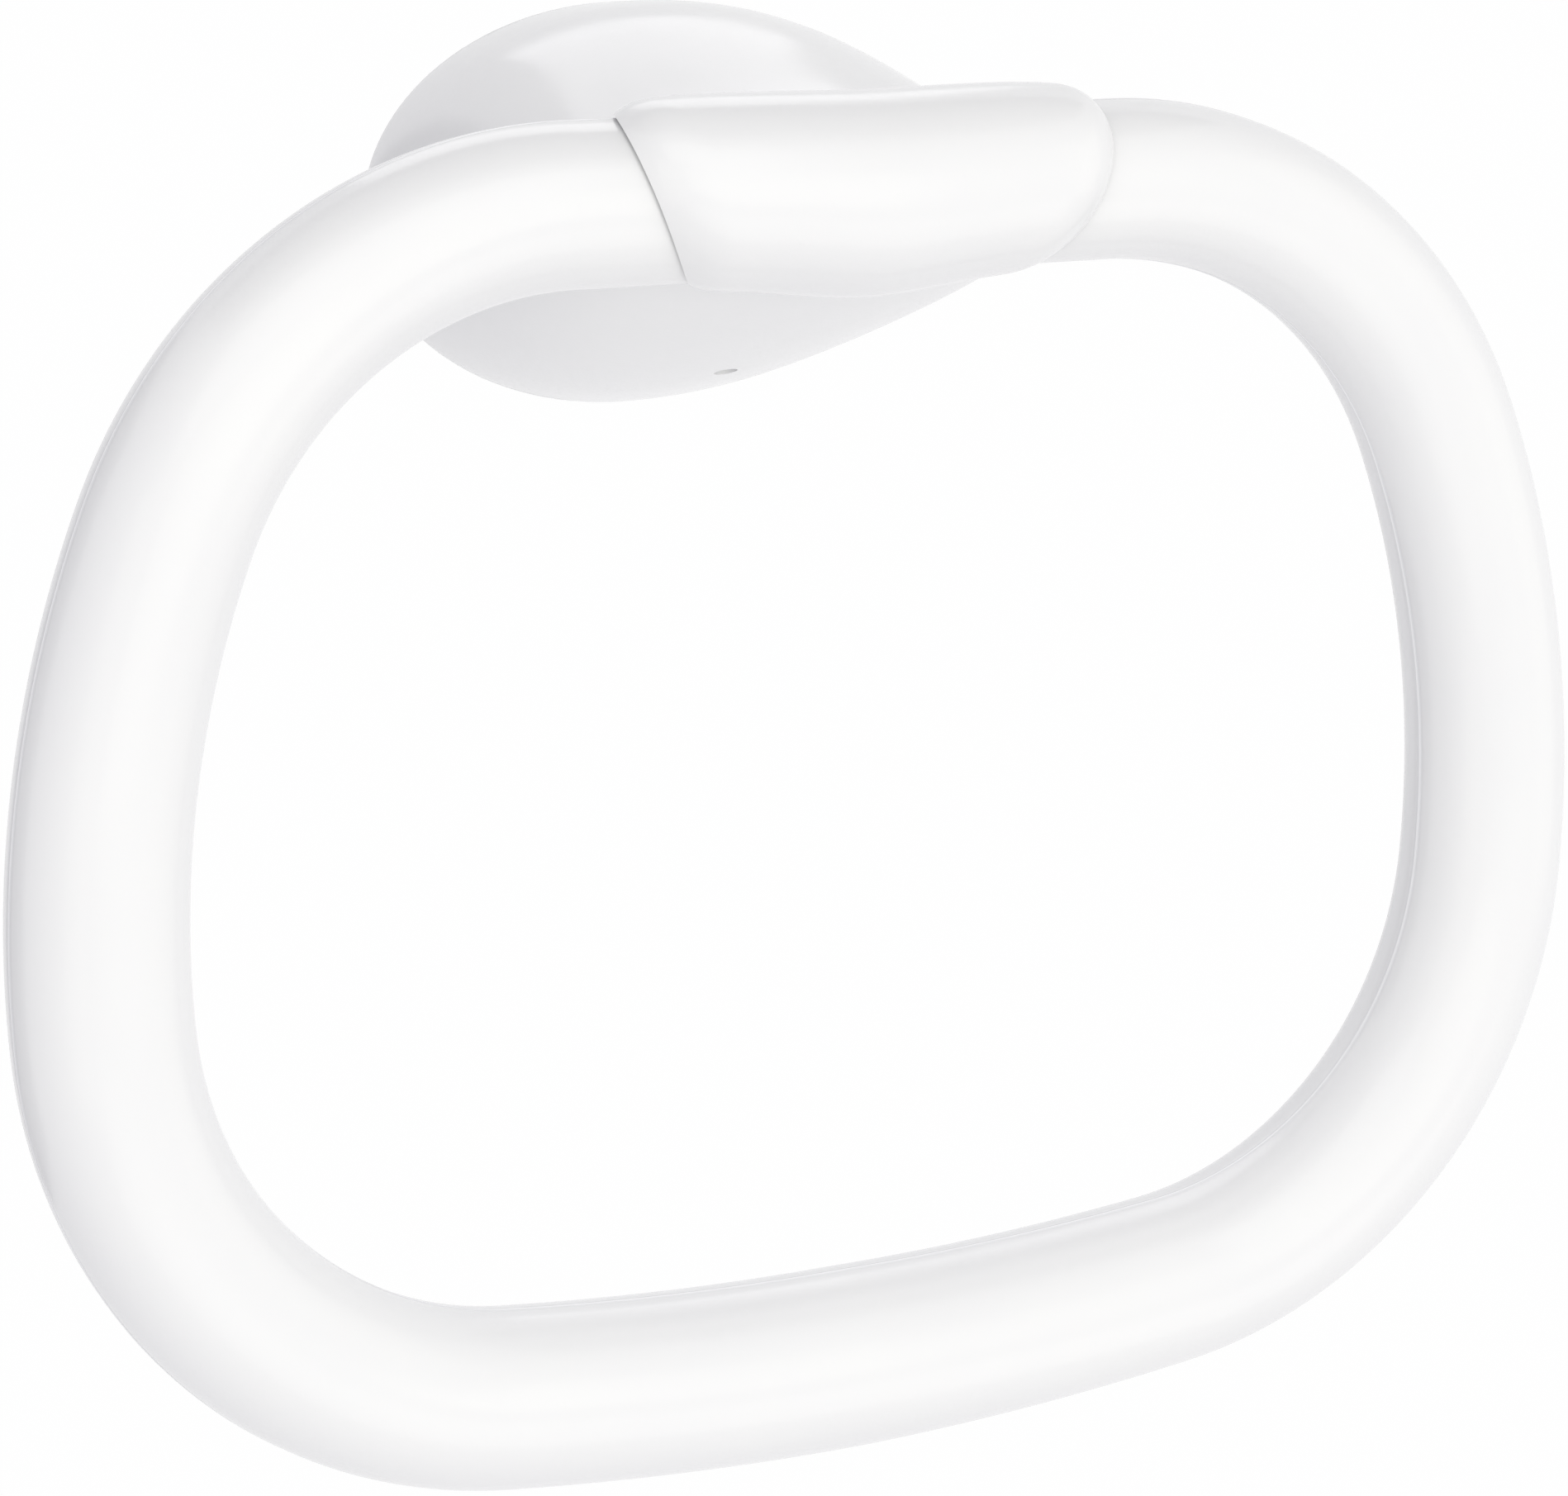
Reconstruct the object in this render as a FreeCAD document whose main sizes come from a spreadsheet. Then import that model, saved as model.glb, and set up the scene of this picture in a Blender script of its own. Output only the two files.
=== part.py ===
import FreeCAD, Part
import math
import os
import re
import Sketcher
from FreeCAD import Placement, Rotation, Vector

# Wall-mounted towel ring. Millimetres, Z up, the front looks along -Y.
# The origin is on the wall, at the middle of the bracket's oval base.

SIZES = [
    # ring, on the middle line of its tube
    ("top_half_flat", 38.5, "half of the straight run at the top"),
    ("shoulder_radius", 57.0, "upper corner"),
    ("shoulder_angle", 67.7, "degrees that the upper corner turns"),
    ("side_radius", 132.0, "slow curve of the side"),
    ("side_angle", 26.7, "degrees that the side turns"),
    ("corner_radius", 58.0, "lower corner"),
    ("corner_angle", 79.3, "degrees that the lower corner turns"),
    ("tube_top_dia", 20.5, "tube in the sleeve"),
    ("tube_foot_dia", 23.8, "tube at the middle of the foot"),
    ("tube_wall", 2.6, "wall of the hollow tube"),
    # bracket, outside
    ("projection", 63.0, "wall to the middle of the ring's tube"),
    ("ring_rise", 6.4, "ring's top line above the middle of the base"),
    ("base_half_width", 37.9, "first oval, at the wall"),
    ("base_half_height", 27.1, "first oval, at the wall"),
    ("drum_depth", 17.6, "second oval, from the wall"),
    ("drum_half_width", 37.4, "second oval"),
    ("drum_half_height", 25.6, "second oval"),
    ("drum_rise", 2.0, "second oval above the middle of the base"),
    ("waist_depth", 36.5, "third oval, from the wall"),
    ("waist_half_width", 37.1, "third oval"),
    ("waist_half_height", 20.3, "third oval"),
    ("waist_rise", 2.7, "third oval above the middle of the base"),
    ("throat_half_width", 36.8, "fourth oval, behind the ring's socket"),
    ("throat_half_height", 15.2, "fourth oval"),
    ("throat_rise", 2.9, "fourth oval above the middle of the base"),
    ("nose_half_width", 29.7, "last oval, inside the sleeve"),
    ("nose_half_height", 11.0, "last oval, inside the sleeve"),
    ("rim_edge", 0.8, "edge radius at the wall"),
    # sleeve
    ("sleeve_wall", 2.15, "sleeve over and under the ring's socket"),
    ("sleeve_forward", 2.8, "middle of the sleeve in front of the ring's line"),
    ("sleeve_half_length", 34.6, "to the tip of the domed end, which the socket cuts off"),
    ("dome_length", 11.75, "domed end of the sleeve, along it"),
    ("belly_rise", 0.85, "half of what the underside rises from the middle to the dome"),
    ("mouth_slant", 18.8, "degrees that each end leans out at the top"),
    ("crease_fillet", 1.2, "where the sleeve grows out of the neck"),
    # sockets for the ring
    ("socket_clearance", 0.4, "round the tube"),
    ("web_thickness", 3.0, "web between the two sockets"),
    ("end_clearance", 0.3, "ring's end to the web"),
    ("key_width", 3.0, "key that stops the ring turning"),
    ("key_height", 1.5, "key, inwards from the socket's wall"),
    ("key_length", 12.0, "key, along the socket from the web"),
    ("key_clearance", 0.3, "key in the tube's notch"),
    # bracket, inside
    ("shell_wall", 3.0, "wall of the moulded shell"),
    ("socket_back_wall", 3.4, "between the hollow and the ring's socket"),
    ("post_radius", 11.0, "tube that takes the spigot"),
    ("rib_thickness", 2.4, "rib above and below that tube"),
    # wall plate
    ("plate_thickness", 5.0, "wall plate"),
    ("plate_clearance", 0.4, "plate's edge to the shell"),
    ("spigot_rise", 1.5, "spigot above the middle of the base"),
    ("spigot_radius", 8.0, "outside of the spigot"),
    ("spigot_wall", 2.6, "wall of the hollow spigot"),
    ("spigot_length", 40.0, "wall to the spigot's tip"),
    ("spigot_clearance", 0.2, "spigot in its tube"),
    ("screw_spacing", 46.0, "between the two wall screws"),
    ("screw_hole", 4.5, "hole for a wall screw"),
    ("screw_head", 9.0, "countersink at the plate's face"),
    # clamping screw under the neck
    ("grub_dia", 3.0, "outside of the grub screw"),
    ("grub_length", 8.0, "grub screw"),
    ("grub_from_wall", 31.0, "its place along the neck"),
    ("grub_clearance", 0.1, "screw in its hole"),
    ("grub_hexagon", 1.5, "its socket, across the flats"),
    ("grub_hexagon_depth", 1.6, "its socket"),
    ("grub_edge", 0.4, "chamfers of the screw"),
    ("grub_boss_radius", 4.0, "boss round the screw, inside the shell"),
    ("grub_seat_depth", 0.8, "flat on the spigot under the screw"),
    ("grub_seat_length", 10.0, "that flat, along the spigot"),
]

doc = FreeCAD.newDocument("towel_ring")
sheet = doc.addObject("Spreadsheet::Sheet", "Sizes")
for row, (alias, value, note) in enumerate(SIZES, start=1):
    sheet.set("A%d" % row, alias)
    sheet.set("B%d" % row, str(value))
    sheet.set("C%d" % row, note)
    sheet.setAlias("B%d" % row, alias)
doc.recompute()
ALIASES = {alias for alias, value, note in SIZES}


def size(alias):
    return float(sheet.get(alias))


def formula(text):
    """Puts the sheet's name before each of its aliases."""
    return re.sub("[a-z_]+", lambda word: "Sizes." + word.group()
                  if word.group() in ALIASES else word.group(), text)


def bind(obj, prop, text):
    obj.setExpression(prop, formula(text))


def bind_place(obj, x="0", y="0", z="0"):
    bind(obj, "Placement.Base.x", x)
    bind(obj, "Placement.Base.y", y)
    bind(obj, "Placement.Base.z", z)


SOCKET_RADIUS = "(tube_top_dia / 2 + socket_clearance)"
SLEEVE_RADIUS = "(tube_top_dia / 2 + socket_clearance + sleeve_wall)"
SOCKET_BACK = "(projection - tube_top_dia / 2 - socket_clearance - socket_back_wall)"

ALONG_X = Rotation(Vector(0, 1, 0), 90)
FORWARD = Rotation(Vector(1, 0, 0), 90)
DOWN = Rotation(Vector(1, 0, 0), 180)


# Simple shapes and booleans

def round_bar(name, direction, radius, length, **place):
    obj = doc.addObject("Part::Cylinder", name)
    obj.Placement = Placement(Vector(0, 0, 0), direction)
    bind(obj, "Radius", radius)
    bind(obj, "Height", length)
    bind_place(obj, **place)
    return obj


def block(name, length, width, height, **place):
    obj = doc.addObject("Part::Box", name)
    bind(obj, "Length", length)
    bind(obj, "Width", width)
    bind(obj, "Height", height)
    bind_place(obj, **place)
    return obj


def fuse(name, *shapes):
    obj = doc.addObject("Part::MultiFuse", name)
    obj.Shapes = list(shapes)
    return obj


def cut(name, base, tool):
    obj = doc.addObject("Part::Cut", name)
    obj.Base = base
    obj.Tool = tool
    return obj


def mirrored(name, source):
    """The same shape on the other side of the middle plane."""
    obj = doc.addObject("Part::Mirroring", name)
    obj.Source = source
    obj.Normal = Vector(1, 0, 0)
    return obj


def fillet(name, base, radius, wanted):
    """Rounds the edges of base that the test picks."""
    doc.recompute()
    obj = doc.addObject("Part::Fillet", name)
    obj.Base = base
    picked = [i for i, edge in enumerate(base.Shape.Edges, start=1) if wanted(edge)]
    obj.Edges = [(i, size(radius), size(radius)) for i in picked]
    doc.recompute()
    return obj


# Ring

def plane(body, role):
    return next(o for o in body.Origin.OriginFeatures if o.Role == role)


def sketch_on(body, name, role, offset=Placement()):
    sketch = body.newObject("Sketcher::SketchObject", name)
    sketch.AttachmentSupport = [(plane(body, role), "")]
    sketch.MapMode = "FlatFace"
    sketch.AttachmentOffset = offset
    return sketch


def constrain(sketch, kind, *args, value=None):
    """Adds a constraint. A value is a formula that the sheet keeps up to date."""
    if value is None:
        return sketch.addConstraint(Sketcher.Constraint(kind, *args))
    start, text = value
    index = sketch.addConstraint(Sketcher.Constraint(kind, *args, start))
    sketch.setExpression("Constraints[%d]" % index, formula(text))
    return index


RING_START = "(web_thickness / 2 + end_clearance)"
BENDS = ["shoulder", "side", "corner"]


def ring_line(body):
    """Right half of the ring's middle line: a straight run and four arcs, each tangent to the last."""
    start = size("web_thickness") / 2 + size("end_clearance")
    flat = size("top_half_flat")
    geometry = [Part.LineSegment(Vector(start, 0, 0), Vector(flat, 0, 0))]
    x, z, heading = flat, 0.0, 0.0

    def bend(radius, turn):
        nonlocal x, z, heading
        centre = Vector(x - radius * math.sin(heading), z - radius * math.cos(heading), 0)
        circle = Part.Circle(centre, Vector(0, 0, 1), radius)
        begin = math.pi / 2 - heading
        heading += turn
        x = centre.x + radius * math.sin(heading)
        z = centre.y + radius * math.cos(heading)
        return Part.ArcOfCircle(circle, begin - turn, begin)

    for name in BENDS:
        geometry.append(bend(size(name + "_radius"), math.radians(size(name + "_angle"))))
    geometry.append(bend(x / math.sin(heading), math.pi - heading))

    sketch = sketch_on(body, "ring_line", "XZ_Plane")
    sketch.addGeometry(geometry, False)
    constrain(sketch, "Horizontal", 0)
    constrain(sketch, "PointOnObject", 0, 1, -1)
    constrain(sketch, "DistanceX", -1, 1, 0, 1, value=(start, RING_START))
    constrain(sketch, "DistanceX", -1, 1, 0, 2, value=(flat, "top_half_flat"))
    constrain(sketch, "Tangent", 0, 2, 1, 2)
    for arc in (1, 2, 3):
        constrain(sketch, "Tangent", arc, 1, arc + 1, 2)
    constrain(sketch, "PointOnObject", 4, 1, -2)
    constrain(sketch, "PointOnObject", 4, 3, -2)
    for arc, name in enumerate(BENDS, start=1):
        radius = name + "_radius"
        angle = name + "_angle"
        constrain(sketch, "Radius", arc, value=(size(radius), radius))
        constrain(sketch, "Angle", arc, value=(math.radians(size(angle)), angle + " * 1 deg"))
    doc.recompute()
    return sketch


def tube_section(body, name, alias, shrink, offset=Placement(), drop=0):
    """A circle across the tube, bound to a diameter of the sheet."""
    sketch = sketch_on(body, name, "YZ_Plane", offset)
    sketch.addGeometry([Part.Circle(Vector(0, drop, 0), Vector(0, 0, 1), size(alias) / 2)], False)
    constrain(sketch, "PointOnObject", 0, 3, -2)
    constrain(sketch, "Diameter", 0, value=(size(alias), alias + shrink))
    return sketch


def pipe(body, kind, name, line, edges, sections):
    obj = body.newObject("PartDesign::" + kind, name)
    obj.Profile = sections[0]
    obj.Spine = (line, edges)
    if len(sections) > 1:
        obj.Transformation = "Multisection"
        obj.Sections = [(section, [""]) for section in sections[1:]]
    doc.recompute()


def tube(body, line, kind, name, shrink):
    """The tube, or its hollow: even along the straight run, then widening evenly to the middle of the foot."""
    end = tube_section(body, name + "_end", "tube_top_dia", shrink)
    bind(end, "AttachmentOffset.Base.z", RING_START)
    constrain(end, "PointOnObject", 0, 3, -1)
    bend = tube_section(body, name + "_bend", "tube_top_dia", shrink)
    bind(bend, "AttachmentOffset.Base.z", "top_half_flat")
    constrain(bend, "PointOnObject", 0, 3, -1)
    drop = -line.Shape.BoundBox.ZMin
    foot = tube_section(body, name + "_foot", "tube_foot_dia", shrink, Placement(Vector(), DOWN), drop)
    constrain(foot, "DistanceY", -1, 1, 0, 3, value=(drop, "ring_line.Shape.BoundBox.ZMin * -1"))
    edges = ["Edge%d" % i for i in range(1, len(line.Shape.Edges) + 1)]
    pipe(body, kind, name + "_straight", line, edges[:1], [end])
    pipe(body, kind, name + "_round", line, edges[1:], [bend, foot])


half = doc.addObject("PartDesign::Body", "ring_half")
line = ring_line(half)
tube(half, line, "AdditivePipe", "outside", "")
tube(half, line, "SubtractivePipe", "hollow", " - 2 * tube_wall")
bind_place(half, y="-projection", z="ring_rise")
moulding = fuse("ring_moulding", half, mirrored("ring_other_half", half))
moulding.Refine = True
notch = block("key_notch", "2 * (web_thickness / 2 + key_length + key_clearance)",
              "key_height + socket_clearance + key_clearance", "key_width + 2 * key_clearance",
              x="-(web_thickness / 2 + key_length + key_clearance)",
              y="-projection + tube_top_dia / 2 + socket_clearance - key_height - key_clearance",
              z="ring_rise - key_width / 2 - key_clearance")
ring = cut("ring", moulding, notch)


# Bracket, outside

STATIONS = [
    # oval, its depth from the wall, its rise above the middle of the base
    ("base", "0", "0"),
    ("drum", "drum_depth", "drum_rise"),
    ("waist", "waist_depth", "waist_rise"),
    ("throat", SOCKET_BACK, "throat_rise"),
]


def quartered(ellipse):
    """The same ellipse as four quarter arcs, so that a loft through it has four even faces."""
    doc.recompute()
    curve = ellipse.Shape.Curve
    quarters = [curve.toShape(i * math.pi / 2, (i + 1) * math.pi / 2) for i in range(4)]
    obj = doc.addObject("Part::Feature", ellipse.Name + "_quarters")
    obj.Shape = Part.Wire(quarters)
    return obj


def oval(name, half_width, half_height, depth, rise):
    """An ellipse across the neck."""
    obj = doc.addObject("Part::Ellipse", name)
    obj.Placement = Placement(Vector(0, 0, 0), FORWARD)
    bind(obj, "MajorRadius", half_width)
    bind(obj, "MinorRadius", half_height)
    bind_place(obj, y="-" + depth, z=rise)
    return quartered(obj)


def ovals(prefix, inset):
    """The four ovals from the wall to the socket's back, each drawn in by an inset."""
    return [oval(prefix + name, name + "_half_width" + inset, name + "_half_height" + inset, depth, rise)
            for name, depth, rise in STATIONS]


def loft(name, sections):
    obj = doc.addObject("Part::Loft", name)
    obj.Sections = sections
    obj.Solid = True
    obj.Ruled = False
    return obj


nose = oval("outer_nose", "nose_half_width", "nose_half_height", "projection", "ring_rise")
neck = loft("neck", ovals("outer_", "") + [nose])

DOME_TURNS = [25, 40, 60, 75, 90]


def sleeve_oval(name, side, turn):
    """A section of the sleeve. A side of 0 is its middle, and those of a dome, at side -1 or 1, lean as the
    mouth does. The dome starts at a turn of 90 degrees."""
    rise = "belly_rise" if side else "0"
    radius = "(%s - %s) * sin(%d deg)" % (SLEEVE_RADIUS, rise, turn)
    obj = doc.addObject("Part::Ellipse", name)
    obj.Placement = Placement(Vector(0, 0, 0), Rotation(Vector(0, -1, 0), 90))
    bind(obj, "Placement.Rotation.Angle", "90 deg - %d * mouth_slant * 1 deg" % side)
    bind(obj, "MajorRadius", radius + " / cos(%d * mouth_slant * 1 deg)" % side)
    bind(obj, "MinorRadius", radius)
    bind_place(obj, x="%d * (sleeve_half_length - dome_length * (1 - cos(%d deg)))" % (side, turn),
               y="-projection - sleeve_forward", z="ring_rise + " + rise)
    return quartered(obj)


left_dome = [sleeve_oval("left_oval", -1, turn) for turn in DOME_TURNS]
middle = [sleeve_oval("middle_oval", 0, 90)]
right_dome = [sleeve_oval("right_oval", 1, turn) for turn in reversed(DOME_TURNS)]
sleeve = loft("sleeve", left_dome + middle + right_dome)
outside = fuse("bracket_outside", neck, sleeve)

TOUCHING = 0.02


def on_crease(edge):
    """An edge that lies on the neck's surface and on the sleeve's."""
    points = [Part.Vertex(point) for point in edge.discretize(5)]
    return all(point.distToShape(form.Shape.Shells[0])[0] < TOUCHING
               for form in (neck, sleeve) for point in points)


def on_rim(edge):
    return edge.BoundBox.YMin > -TOUCHING


creased = fillet("bracket_creased", outside, "crease_fillet", on_crease)
bracket_skin = fillet("bracket_skin", creased, "rim_edge", on_rim)


# Bracket, inside: a moulded shell with a tube for the spigot and a boss for the clamping screw

hollow = loft("hollow", ovals("inner_", " - shell_wall"))
rib = block("rib", "rib_thickness", SOCKET_BACK, "4 * base_half_height",
            x="-rib_thickness / 2", y="-" + SOCKET_BACK, z="-2 * base_half_height")
post = round_bar("post", FORWARD, "post_radius", SOCKET_BACK, z="spigot_rise")
boss = round_bar("boss", DOWN, "grub_boss_radius", "2 * base_half_height",
                 y="-grub_from_wall", z="spigot_rise")
plate_room = block("plate_room", "4 * base_half_width", "plate_thickness", "4 * base_half_height",
                   x="-2 * base_half_width", y="-plate_thickness", z="-2 * base_half_height")
inner_parts = cut("inner_parts", fuse("rib_post_boss", rib, post, boss), plate_room)
cored = cut("cored", hollow, inner_parts)
spigot_bore = round_bar("spigot_bore", FORWARD, "spigot_radius + spigot_clearance", SOCKET_BACK,
                        z="spigot_rise")
grub_bore = round_bar("grub_bore", DOWN, "(grub_dia + grub_clearance) / 2", "2 * base_half_height",
                      y="-grub_from_wall", z="spigot_rise")
socket_bar = round_bar("socket_bar", ALONG_X, SOCKET_RADIUS, "4 * base_half_width",
                       x="-2 * base_half_width", y="-projection", z="ring_rise")
web = block("web", "web_thickness", "2 * tube_top_dia", "2 * tube_top_dia",
            x="-web_thickness / 2", y="-projection - tube_top_dia", z="ring_rise - tube_top_dia")
key = block("key", "web_thickness + 2 * key_length", "key_height + socket_back_wall / 2", "key_width",
            x="-web_thickness / 2 - key_length",
            y="-projection + tube_top_dia / 2 + socket_clearance - key_height",
            z="ring_rise - key_width / 2")
sockets = cut("sockets", socket_bar, fuse("web_and_key", web, key))
bracket = cut("bracket", bracket_skin, fuse("openings", cored, spigot_bore, grub_bore, sockets))


# Wall plate: an oval plate with a hollow spigot that the bracket slides over

plate_slab = doc.addObject("Part::Common", "plate_slab")
plate_slab.Base = loft("plate_form", ovals("plate_", " - shell_wall - plate_clearance"))
plate_slab.Tool = plate_room
spigot = round_bar("spigot", FORWARD, "spigot_radius", "spigot_length", z="spigot_rise")
spigot_core = round_bar("spigot_core", FORWARD, "spigot_radius - spigot_wall", "spigot_length",
                        z="spigot_rise")
grub_seat = block("grub_seat", "2 * spigot_radius", "grub_seat_length", "spigot_radius",
                  x="-spigot_radius", y="-grub_from_wall - grub_seat_length / 2",
                  z="spigot_rise - 2 * spigot_radius + grub_seat_depth")


def screw_hole(name, side):
    """A countersunk hole for a wall screw."""
    x = side + " * screw_spacing / 2"
    shank = round_bar(name + "_shank", FORWARD, "screw_hole / 2", "plate_thickness", x=x)
    head = doc.addObject("Part::Cone", name + "_head")
    head.Placement = Placement(Vector(0, 0, 0), FORWARD)
    bind(head, "Radius1", "screw_hole / 2")
    bind(head, "Radius2", "screw_head / 2")
    bind(head, "Height", "(screw_head - screw_hole) / 2")
    bind_place(head, x=x, y="-plate_thickness + (screw_head - screw_hole) / 2")
    return fuse(name, shank, head)


wall_plate = cut("wall_plate", fuse("plate_and_spigot", plate_slab, spigot),
                 fuse("plate_openings", spigot_core, grub_seat,
                      screw_hole("left_hole", "-1"), screw_hole("right_hole", "1")))


# Clamping screw: its tip stands on the flat of the spigot

GRUB_TIP = "(spigot_rise - spigot_radius + grub_seat_depth)"

grub_bar = round_bar("grub_bar", DOWN, "grub_dia / 2", "grub_length", y="-grub_from_wall", z=GRUB_TIP)
grub_chamfered = doc.addObject("Part::Chamfer", "grub_chamfered")
grub_chamfered.Base = grub_bar
doc.recompute()
grub_chamfered.Edges = [(i, size("grub_edge"), size("grub_edge"))
                        for i, edge in enumerate(grub_bar.Shape.Edges, start=1)
                        if edge.Curve.TypeId == "Part::GeomCircle"]
grub_hexagon = doc.addObject("Part::Prism", "grub_socket")
grub_hexagon.Placement = Placement(Vector(0, 0, 0), DOWN)
grub_hexagon.Polygon = 6
bind(grub_hexagon, "Circumradius", "grub_hexagon / 2 / cos(30 deg)")
bind(grub_hexagon, "Height", "grub_hexagon_depth")
bind_place(grub_hexagon, y="-grub_from_wall", z=GRUB_TIP + " - grub_length + grub_hexagon_depth")
grub_screw = cut("grub_screw", grub_chamfered, grub_hexagon)


# Files

NODES = {"ring": ring, "bracket": bracket, "wall_plate": wall_plate, "grub_screw": grub_screw}

doc.recompute()
for obj in doc.Objects:
    if "Invalid" in obj.State or "Error" in obj.State:
        raise RuntimeError("%s: %s" % (obj.Name, obj.State))
os.makedirs("parts", exist_ok=True)
for name, obj in NODES.items():
    obj.Label = name
    shape = obj.Shape
    if shape.isNull() or not shape.isValid() or len(shape.Solids) != 1:
        raise RuntimeError("%s: the shape is not one valid solid" % name)
    shape.exportStep("parts/%s.step" % name)
    box = shape.optimalBoundingBox()
    print("%-12s %9.0f mm3  x %.1f %.1f  y %.1f %.1f  z %.1f %.1f" % (
        name, shape.Volume, box.XMin, box.XMax, box.YMin, box.YMax, box.ZMin, box.ZMax))
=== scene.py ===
import math

import bmesh
import bpy
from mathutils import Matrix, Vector


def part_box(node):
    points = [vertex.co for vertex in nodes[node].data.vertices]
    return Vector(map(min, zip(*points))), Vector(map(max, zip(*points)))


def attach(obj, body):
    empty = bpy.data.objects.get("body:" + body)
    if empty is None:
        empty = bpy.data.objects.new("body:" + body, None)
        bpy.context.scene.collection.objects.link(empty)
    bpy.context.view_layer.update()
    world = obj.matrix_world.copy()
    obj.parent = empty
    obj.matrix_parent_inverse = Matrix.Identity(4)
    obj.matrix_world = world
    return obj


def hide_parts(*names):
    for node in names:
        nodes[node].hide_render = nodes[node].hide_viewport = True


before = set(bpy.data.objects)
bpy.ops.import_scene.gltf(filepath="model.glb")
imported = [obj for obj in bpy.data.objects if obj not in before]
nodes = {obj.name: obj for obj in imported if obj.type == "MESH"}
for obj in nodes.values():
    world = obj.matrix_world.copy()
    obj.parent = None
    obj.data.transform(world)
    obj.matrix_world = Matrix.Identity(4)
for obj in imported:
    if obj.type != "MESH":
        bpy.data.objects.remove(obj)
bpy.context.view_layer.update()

mm = 0.001


def addObject(name, data):
    thing = bpy.data.objects.new(name, data)
    bpy.context.scene.collection.objects.link(thing)
    return thing


# Node helpers

mixSocket = {"share": 0, "first": 6, "second": 7, "result": 2}  # colour sockets of a Mix node


def startMaterial(name):
    material = bpy.data.materials.new(name)
    material.use_nodes = True
    tree = material.node_tree
    return material, tree, tree.nodes["Principled BSDF"]


def addNode(tree, kind, **values):
    node = tree.nodes.new(kind)
    for key, value in values.items():
        if key in node.inputs:
            node.inputs[key].default_value = value
        else:
            setattr(node, key, value)
    return node


def placeOnPart(tree):
    return addNode(tree, "ShaderNodeTexCoord").outputs["Object"]  # metres in the part's own frame


def noiseOf(tree, size, detail=3.0, stretch=(1, 1, 1)):
    mapping = addNode(tree, "ShaderNodeMapping", Scale=[s / size for s in stretch])
    noise = addNode(tree, "ShaderNodeTexNoise", Scale=1.0, Detail=detail)
    tree.links.new(placeOnPart(tree), mapping.inputs["Vector"])
    tree.links.new(mapping.outputs["Vector"], noise.inputs["Vector"])
    return noise.outputs["Fac"]


def ramp(tree, source, stops):  # two stops, place and colour
    node = addNode(tree, "ShaderNodeValToRGB")
    for element, (place, colour) in zip(node.color_ramp.elements, stops):
        element.position = place
        element.color = (*colour, 1)
    tree.links.new(source, node.inputs["Fac"])
    return node.outputs["Color"]


def spread(tree, source, low, high, fromLow=0.3, fromHigh=0.7):
    node = tree.nodes.new("ShaderNodeMapRange")
    for key, value in (("From Min", fromLow), ("From Max", fromHigh), ("To Min", low), ("To Max", high)):
        node.inputs[key].default_value = value
    tree.links.new(source, node.inputs["Value"])
    return node.outputs["Result"]


def blendTo(tree, colour, other, share):
    mix = addNode(tree, "ShaderNodeMix", data_type="RGBA")
    tree.links.new(share, mix.inputs[mixSocket["share"]])
    tree.links.new(colour, mix.inputs[mixSocket["first"]])
    mix.inputs[mixSocket["second"]].default_value = (*other, 1)
    return mix.outputs[mixSocket["result"]]


def larger(tree, first, second):
    node = addNode(tree, "ShaderNodeMath", operation="MAXIMUM")
    tree.links.new(first, node.inputs[0])
    tree.links.new(second, node.inputs[1])
    return node.outputs[0]


# Materials

glossLook = {
    "shade": (0.825, 0.825, 0.828),  # the two whites that the moulding drifts between
    "light": (0.835, 0.835, 0.835),
    "driftSize": 30 * mm,
    "driftFrom": 0.35,
    "driftTo": 0.65,
    "roughLow": 0.15,
    "roughHigh": 0.21,
    "rubSize": 9 * mm,  # dull patches from wiping
    "rubDetail": 6.0,
    "skinSize": 0.7 * mm,  # very slight waviness of the moulded skin
    "skinDetail": 1.0,
    "skinDepth": 0.012 * mm,
    "skinStrength": 0.5,
    "refraction": 1.49,
}

lineLook = {
    "white": (0.93, 0.93, 0.935),  # painted highlight along the top of the parting line's ridge
    "halfWidth": 0.22 * mm,
    "paintedHighlightCore": 0.5,  # how much of the half width takes the full painted highlight
    "paintedShade": (0.78, 0.78, 0.795),  # painted shade along both its sides, where the fine grooves fall into shade
    "paintedShadeShare": 0.8,
    "paintedShadeWidth": 0.75 * mm,
}


# Paints the parting line's light and shade into the colour: a painted highlight on the ridge and painted
# shade along the grooves beside it
def paintLineLightAndShade(tree, colour, lineAt):
    apart = addNode(tree, "ShaderNodeSeparateXYZ")
    tree.links.new(placeOnPart(tree), apart.inputs[0])
    away = addNode(tree, "ShaderNodeMath", operation="SUBTRACT")
    away.inputs[1].default_value = lineAt
    tree.links.new(apart.outputs["Y"], away.inputs[0])
    size = addNode(tree, "ShaderNodeMath", operation="ABSOLUTE")
    tree.links.new(away.outputs[0], size.inputs[0])
    width = lineLook["halfWidth"]
    paintedShade = spread(tree, size.outputs[0], lineLook["paintedShadeShare"], 0.0, width, lineLook["paintedShadeWidth"])
    paintedHighlight = spread(tree, size.outputs[0], 1.0, 0.0, width * lineLook["paintedHighlightCore"], width)
    return blendTo(tree, blendTo(tree, colour, lineLook["paintedShade"], paintedShade), lineLook["white"], paintedHighlight)


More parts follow.
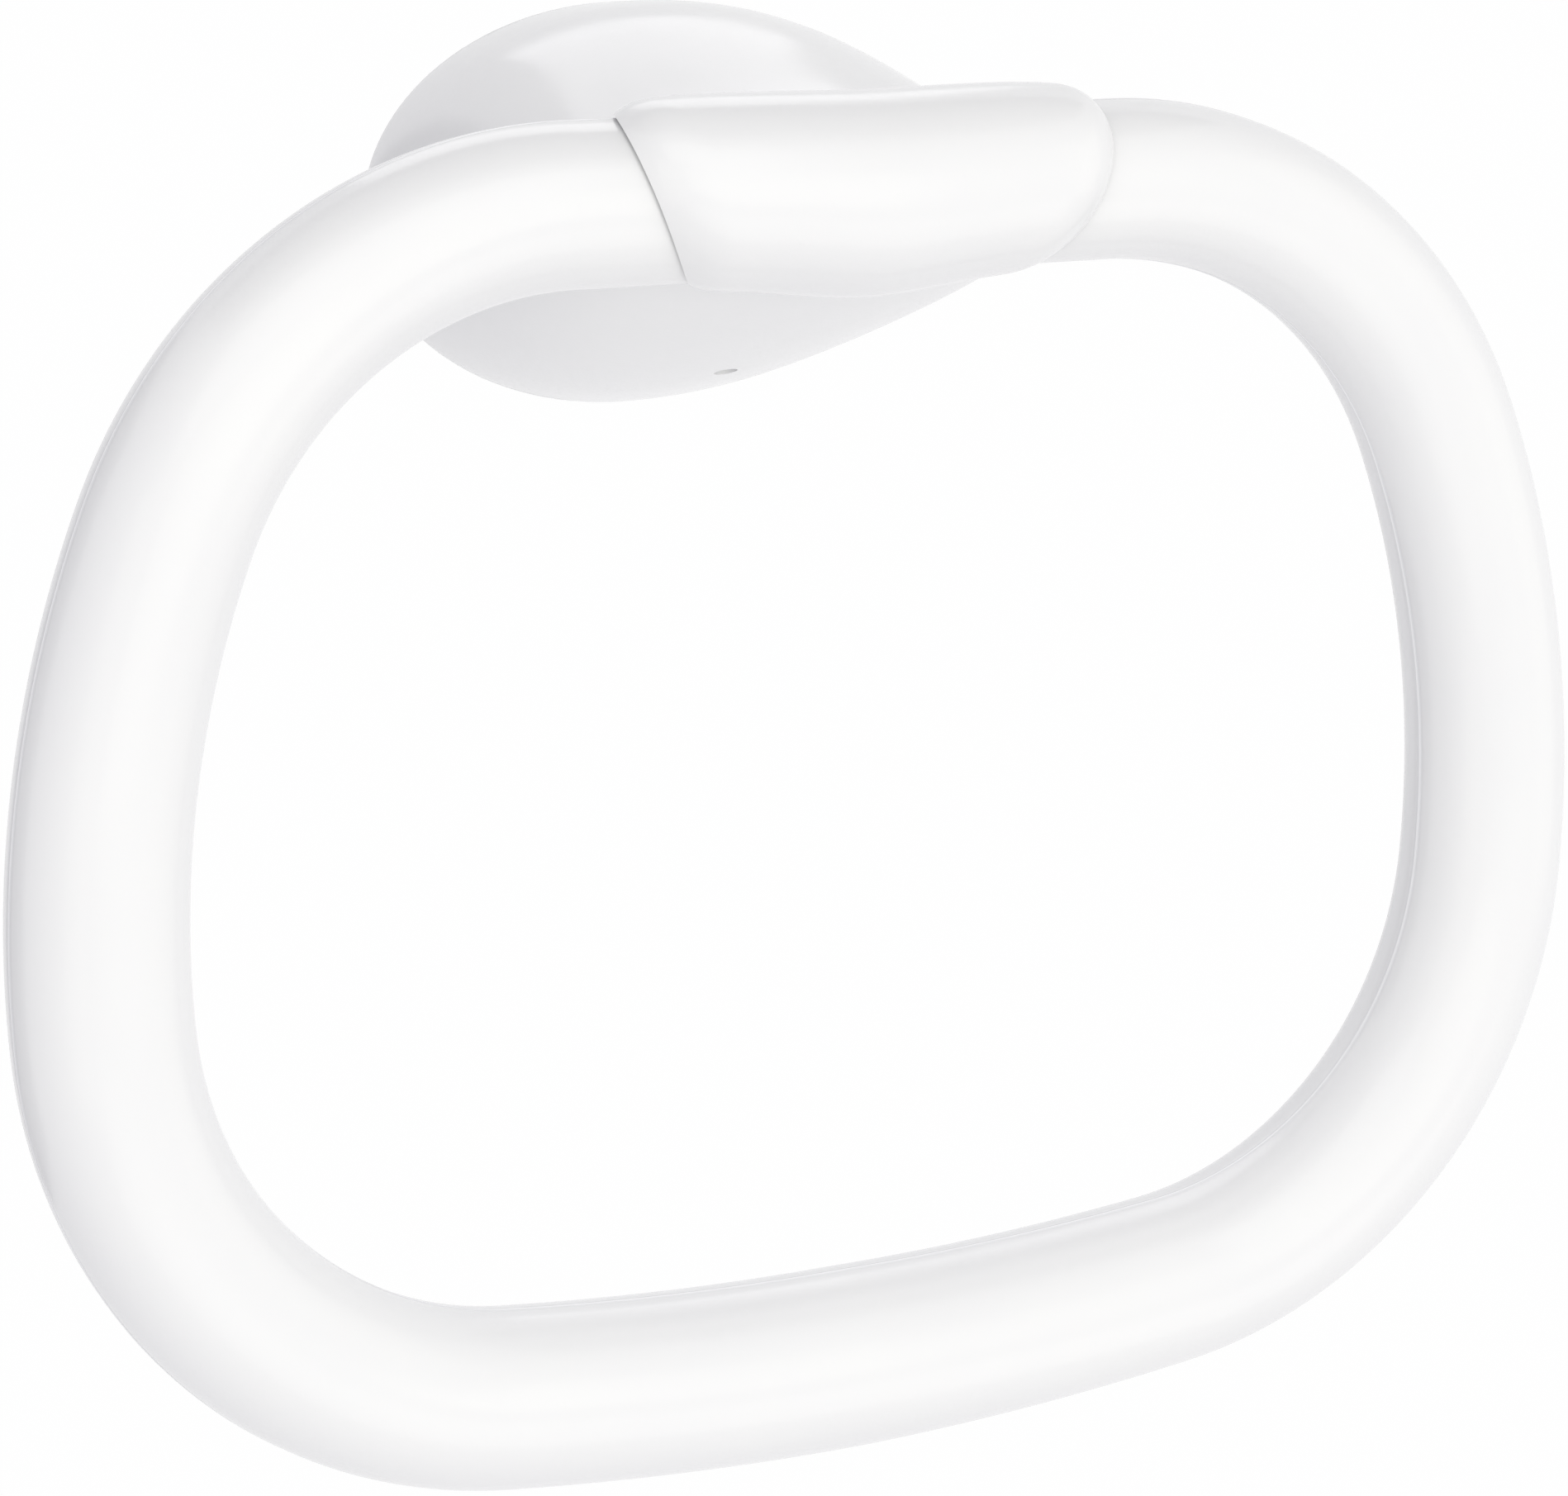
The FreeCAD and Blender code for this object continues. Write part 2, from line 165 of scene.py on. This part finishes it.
def glossPlastic(name, lineAt=None):
    look = glossLook
    material, tree, shader = startMaterial(name)
    drift = noiseOf(tree, look["driftSize"])
    colour = ramp(tree, drift, [(look["driftFrom"], look["shade"]), (look["driftTo"], look["light"])])
    # the parting line's painted highlight and painted shade go into the base colour
    if lineAt is not None:
        colour = paintLineLightAndShade(tree, colour, lineAt)
    tree.links.new(colour, shader.inputs["Base Color"])
    rub = noiseOf(tree, look["rubSize"], detail=look["rubDetail"])
    tree.links.new(spread(tree, rub, look["roughLow"], look["roughHigh"]), shader.inputs["Roughness"])
    skin = addNode(tree, "ShaderNodeBump", Strength=look["skinStrength"], Distance=look["skinDepth"])
    tree.links.new(noiseOf(tree, look["skinSize"], detail=look["skinDetail"]), skin.inputs["Height"])
    tree.links.new(skin.outputs["Normal"], shader.inputs["Normal"])
    shader.inputs["IOR"].default_value = look["refraction"]
    return material


plateLook = {
    "shade": (0.72, 0.72, 0.72),
    "light": (0.78, 0.78, 0.77),
    "driftSize": 12 * mm,
    "driftFrom": 0.35,
    "driftTo": 0.65,
    "roughLow": 0.48,
    "roughHigh": 0.6,
    "grainSize": 0.35 * mm,
    "grainDetail": 2.0,
    "grainDepth": 0.03 * mm,
    "grainStrength": 0.6,
}


def plainPlastic():
    look = plateLook
    material, tree, shader = startMaterial("plainPlastic")
    drift = noiseOf(tree, look["driftSize"])
    colour = ramp(tree, drift, [(look["driftFrom"], look["shade"]), (look["driftTo"], look["light"])])
    tree.links.new(colour, shader.inputs["Base Color"])
    tree.links.new(spread(tree, drift, look["roughLow"], look["roughHigh"]), shader.inputs["Roughness"])
    grain = addNode(tree, "ShaderNodeBump", Strength=look["grainStrength"], Distance=look["grainDepth"])
    tree.links.new(noiseOf(tree, look["grainSize"], detail=look["grainDetail"]), grain.inputs["Height"])
    tree.links.new(grain.outputs["Normal"], shader.inputs["Normal"])
    return material


steelLook = {
    "shade": (0.42, 0.42, 0.43),
    "light": (0.60, 0.60, 0.61),
    "shadeTo": 0.3,
    "lightFrom": 0.7,
    "roughLow": 0.28,
    "roughHigh": 0.45,
    "grainSize": 0.6 * mm,
    "grainDetail": 4.0,
    "grainStretch": (1, 1, 6),  # turning marks round the screw
}


def plainSteel():
    look = steelLook
    material, tree, shader = startMaterial("plainSteel")
    grain = noiseOf(tree, look["grainSize"], detail=look["grainDetail"], stretch=look["grainStretch"])
    colour = ramp(tree, grain, [(look["shadeTo"], look["shade"]), (look["lightFrom"], look["light"])])
    tree.links.new(colour, shader.inputs["Base Color"])
    tree.links.new(spread(tree, grain, look["roughLow"], look["roughHigh"]), shader.inputs["Roughness"])
    shader.inputs["Metallic"].default_value = 1.0
    return material


ringMiddle = sum((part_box("ring")[0].y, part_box("ring")[1].y)) / 2
white = glossPlastic("glossPlastic")
whiteLined = glossPlastic("glossPlasticLined", ringMiddle)
plain = plainPlastic()
steel = plainSteel()
print("materials made")


# Ring: a tapering tube with a fine parting line on its mid-plane

ringSizes = {
    "halfFlat": 38.5 * mm,  # straight run at the top, from the middle
    "bends": [(57.0 * mm, 67.7), (132.0 * mm, 26.7), (58.0 * mm, 79.3)],  # radius, degrees
    "endX": 1.8 * mm,  # the tube's end, inside the sleeve
    "topRadius": 10.25 * mm,  # to the top of the parting line's ridge
    "footRadius": 11.87 * mm,
    "wall": 2.6 * mm,
    "lineHeight": 0.07 * mm,  # the ridge over the tube's skin
    "grooveDepth": 0.11 * mm,  # the fine groove beside it, from the ridge's top
    "shoulderDepth": 0.03 * mm,  # where the ridge's rounded top falls away
    "step": 1.5 * mm,  # between sections along the tube
    "facesAround": 72,
    "sharpFrom": 50,  # degrees; an edge as sharp as this stays crisp
}
partingLine = [  # degrees from the mid-plane, height against the ridge's top
    (-3.2, -ringSizes["lineHeight"]),
    (-1.9, -ringSizes["grooveDepth"]),
    (-1.0, -ringSizes["shoulderDepth"]),
    (0.0, 0.0),
    (1.0, -ringSizes["shoulderDepth"]),
    (1.9, -ringSizes["grooveDepth"]),
    (3.2, -ringSizes["lineHeight"]),
]


def ringStations():
    sizes = ringSizes
    stations = []  # x, z, heading, length from the end of the straight run
    straight = sizes["halfFlat"] - sizes["endX"]
    count = math.ceil(straight / sizes["step"])
    for i in range(count):
        stations.append((sizes["endX"] + straight * i / count, 0.0, 0.0, straight * (i / count - 1)))
    x, z, heading, run = sizes["halfFlat"], 0.0, 0.0, 0.0
    total = sum(turn for radius, turn in sizes["bends"])
    bends = [(radius, math.radians(turn)) for radius, turn in sizes["bends"]]
    bends.append((None, math.radians(180 - total)))
    for radius, turn in bends:
        if radius is None:
            radius = x / math.sin(heading)  # the foot closes on the middle plane
        centreX = x - radius * math.sin(heading)
        centreZ = z - radius * math.cos(heading)
        count = math.ceil(radius * turn / sizes["step"])
        for i in range(count):
            angle = heading + turn * i / count
            stations.append((centreX + radius * math.sin(angle), centreZ + radius * math.cos(angle),
                             angle, run + radius * turn * i / count))
        heading += turn
        run += radius * turn
        x = centreX + radius * math.sin(heading)
        z = centreZ + radius * math.cos(heading)
    stations.append((0.0, z, math.pi, run))
    return stations


def sectionAngles():
    count = ringSizes["facesAround"]
    between = [(360 / count * i, -ringSizes["lineHeight"]) for i in range(1, count // 2)]
    angles = []
    for middle in (0, 180):  # the tube's outer and inner side
        angles += [(middle + degrees, rise) for degrees, rise in partingLine + between]
    return [(math.radians(degrees), rise) for degrees, rise in angles]


def tubeRing(station, fullRun, topZ, inset, angles):
    x, z, heading, run = station
    growth = max(run, 0.0) / fullRun
    widening = ringSizes["footRadius"] - ringSizes["topRadius"]
    radius = ringSizes["topRadius"] + widening * growth - inset
    outward = Vector((math.sin(heading), 0, math.cos(heading)))
    forward = Vector((0, -1, 0))
    centre = Vector((x, ringMiddle, topZ + z))
    return [centre + (radius + rise) * (math.cos(a) * outward + math.sin(a) * forward)
            for a, rise in angles]


def meshFromRows(name, rows):
    points = [p for row in rows for p in row]
    across = len(rows[0])
    faces = []
    for i in range(len(rows)):
        j = (i + 1) % len(rows)
        for k in range(across):
            n = (k + 1) % across
            faces.append((i * across + k, i * across + n, j * across + n, j * across + k))
    mesh = bpy.data.meshes.new(name)
    mesh.from_pydata(points, [], faces)
    mesh.validate()
    mesh.shade_smooth()
    return mesh


def makeRing():
    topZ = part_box("ring")[1].z - ringSizes["topRadius"]
    half = ringStations()
    fullRun = half[-1][3]
    stations = half + [(-x, z, -heading, run) for x, z, heading, run in reversed(half[:-1])]
    skin = sectionAngles()
    bore = [(a, 0.0) for a, rise in skin]
    rows = [tubeRing(s, fullRun, topZ, 0.0, skin) for s in stations]
    rows += [tubeRing(s, fullRun, topZ, ringSizes["wall"], bore) for s in reversed(stations)]
    piece = addObject("ring_tube", meshFromRows("ring_tube", rows))
    piece.data.set_sharp_from_angle(angle=math.radians(ringSizes["sharpFrom"]))
    piece.data.materials.append(whiteLined)
    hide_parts("ring")
    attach(piece, "root")


makeRing()
print("ring made")


# Bracket: the frame's shape with its seams joined, so that light runs over them smoothly

bracketSizes = {
    "join": 0.002 * mm,  # corners as near as this become one
    "sharpFrom": 32,  # degrees; an edge as sharp as this stays crisp
}


def joinedMesh(name, source):
    mesh = bpy.data.meshes.new(name)
    skin = bmesh.new()
    points = {}
    for face in source.polygons:
        corners = []
        for index in face.vertices:
            place = source.vertices[index].co
            key = tuple(round(c / bracketSizes["join"]) for c in place)
            if key not in points:
                points[key] = skin.verts.new(place)
            corners.append(points[key])
        if len(set(corners)) == len(corners):
            skin.faces.new(corners)
    skin.to_mesh(mesh)
    skin.free()
    mesh.shade_smooth()
    mesh.set_sharp_from_angle(angle=math.radians(bracketSizes["sharpFrom"]))
    return mesh


def makeBracket():
    piece = addObject("bracket_skin", joinedMesh("bracket_skin", nodes["bracket"].data))
    piece.data.materials.append(white)
    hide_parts("bracket")
    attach(piece, "root")


makeBracket()
print("bracket made")


# Wall plate and grub screw come from the frame

def finishNode(name, material):
    mesh = nodes[name].data
    mesh.materials.clear()
    mesh.materials.append(material)


finishNode("wall_plate", plain)
finishNode("grub_screw", steel)
print("wall plate and grub screw finished")


# Floor, light and camera

stageSizes = {
    "floorZ": -1.2,
    "floorHalf": 45.0,
    "floorWhite": (0.95, 0.95, 0.95),
    "floorGlow": 0.98,  # how much of the floor is plain white to the camera; the rest takes shadow
    "matteRoughness": 0.9,
    "worldFill": (0.79, 0.785, 0.83),  # the room's light on the part
    "worldSeen": (1, 1, 1),  # what the camera and reflections see behind the part
}


def matteMaterial(name, colour):
    material, tree, shader = startMaterial(name)
    shader.inputs["Base Color"].default_value = (*colour, 1)
    shader.inputs["Roughness"].default_value = stageSizes["matteRoughness"]
    shader.inputs["Specular IOR Level"].default_value = 0.0  # no gloss
    return material, tree, shader


def makeFloor():
    half = stageSizes["floorHalf"]
    z = stageSizes["floorZ"]
    mesh = bpy.data.meshes.new("floor")
    mesh.from_pydata([(-half, -half, z), (half, -half, z), (half, half, z), (-half, half, z)],
                     [], [(0, 1, 2, 3)])
    floor = addObject("floor", mesh)
    material, tree, shader = matteMaterial("floorWhite", stageSizes["floorWhite"])
    glow = addNode(tree, "ShaderNodeEmission", Strength=1.0)
    seen = addNode(tree, "ShaderNodeLightPath").outputs
    part = addNode(tree, "ShaderNodeMath", operation="MULTIPLY")
    part.inputs[1].default_value = stageSizes["floorGlow"]
    tree.links.new(larger(tree, seen["Is Camera Ray"], seen["Is Glossy Ray"]), part.inputs[0])
    mix = addNode(tree, "ShaderNodeMixShader")
    tree.links.new(part.outputs[0], mix.inputs[0])
    tree.links.new(shader.outputs[0], mix.inputs[1])
    tree.links.new(glow.outputs[0], mix.inputs[2])
    tree.links.new(mix.outputs[0], tree.nodes["Material Output"].inputs["Surface"])
    mesh.materials.append(material)


def makeWorld():
    world = bpy.data.worlds.new("studio")
    bpy.context.scene.world = world
    world.use_nodes = True
    tree = world.node_tree
    background = tree.nodes["Background"]
    seen = addNode(tree, "ShaderNodeLightPath").outputs
    seenOrGlossy = larger(tree, seen["Is Camera Ray"], seen["Is Glossy Ray"])
    mix = addNode(tree, "ShaderNodeMix", data_type="RGBA")
    mix.inputs[mixSocket["first"]].default_value = (*stageSizes["worldFill"], 1)
    mix.inputs[mixSocket["second"]].default_value = (*stageSizes["worldSeen"], 1)
    tree.links.new(larger(tree, seenOrGlossy, seen["Is Transmission Ray"]), mix.inputs[mixSocket["share"]])
    tree.links.new(mix.outputs[mixSocket["result"]], background.inputs["Color"])
    background.inputs["Strength"].default_value = 1.0


def aimAt(thing, target):
    thing.rotation_mode = "QUATERNION"
    thing.rotation_quaternion = (Vector(target) - thing.location).to_track_quat("-Z", "Y")


def placeAround(thing, target, azimuth, elevation, distance):
    a, e = math.radians(azimuth), math.radians(elevation)
    thing.location = target + distance * Vector((math.sin(a) * math.cos(e),
                                                 -math.cos(a) * math.cos(e), math.sin(e)))
    aimAt(thing, target)


lamps = {
    # azimuth from the front, positive to the right; elevation; distance; width and height; watts; colour
    "key": (0, 10, 1.25, 1.5, 0.8, 2.65, (1.0, 1.0, 0.84)),
    "front": (-10, 45, 1.25, 1.6, 0.7, 3.1, (1.0, 1.0, 0.93)),
    "right": (65, 10, 1.3, 0.8, 1.2, 1.0, (1.0, 1.0, 0.84)),
    "left": (-50, 0, 1.3, 0.6, 1.2, 1.0, (1.0, 1.0, 0.84)),
    "low": (10, -36, 1.15, 1.8, 0.6, 1.8, (1.0, 1.0, 0.93)),
    "back": (158, 44, 1.15, 0.6, 0.5, 0.8, (1.0, 1.0, 1.0)),
}


def makeLamps(target):
    for name, (azimuth, elevation, distance, width, height, watts, colour) in lamps.items():
        data = bpy.data.lights.new(name, "AREA")
        data.shape = "RECTANGLE"
        data.size = width
        data.size_y = height
        data.energy = watts
        data.color = colour
        lamp = addObject(name, data)
        placeAround(lamp, target, azimuth, elevation, distance)
        lamp.visible_camera = False


cards = {
    # grey cards beside and above the part, which the camera doesn't see:
    # azimuth, elevation, distance, width and height as for the lamps; grey
    "side": (-142, 0, 1.3, 1.0, 1.6, 0.4),
    "ceiling": (165, 80, 1.0, 1.6, 0.9, 0.45),
}


def makeCards(target):
    for name, (azimuth, elevation, distance, width, height, grey) in cards.items():
        w, h = width / 2, height / 2
        mesh = bpy.data.meshes.new(name)
        mesh.from_pydata([(-w, -h, 0), (w, -h, 0), (w, h, 0), (-w, h, 0)], [], [(0, 1, 2, 3)])
        card = addObject(name + "_card", mesh)
        mesh.materials.append(matteMaterial(name + "Card", (grey, grey, grey))[0])
        placeAround(card, target, azimuth, elevation, distance)
        card.visible_camera = False


cameraSizes = {
    "place": (-0.2919, -0.5771, 0.0587),
    "aim": (-0.00891, -0.063, -0.06317),
    "lens": 109.1,  # millimetres, like the sensor
    "sensor": 36.0,
    "near": 0.01,
    "far": 50.0,
}


def makeCamera():
    data = bpy.data.cameras.new("camera")
    data.lens = cameraSizes["lens"]
    data.sensor_width = cameraSizes["sensor"]
    data.clip_start = cameraSizes["near"]
    data.clip_end = cameraSizes["far"]
    camera = addObject("camera", data)
    camera.location = cameraSizes["place"]
    aimAt(camera, cameraSizes["aim"])
    bpy.context.scene.camera = camera


stageMiddle = Vector(cameraSizes["aim"])
makeFloor()
makeWorld()
makeLamps(stageMiddle)
makeCards(stageMiddle)
makeCamera()
bpy.context.scene.view_settings.view_transform = "Standard"
print("stage made")
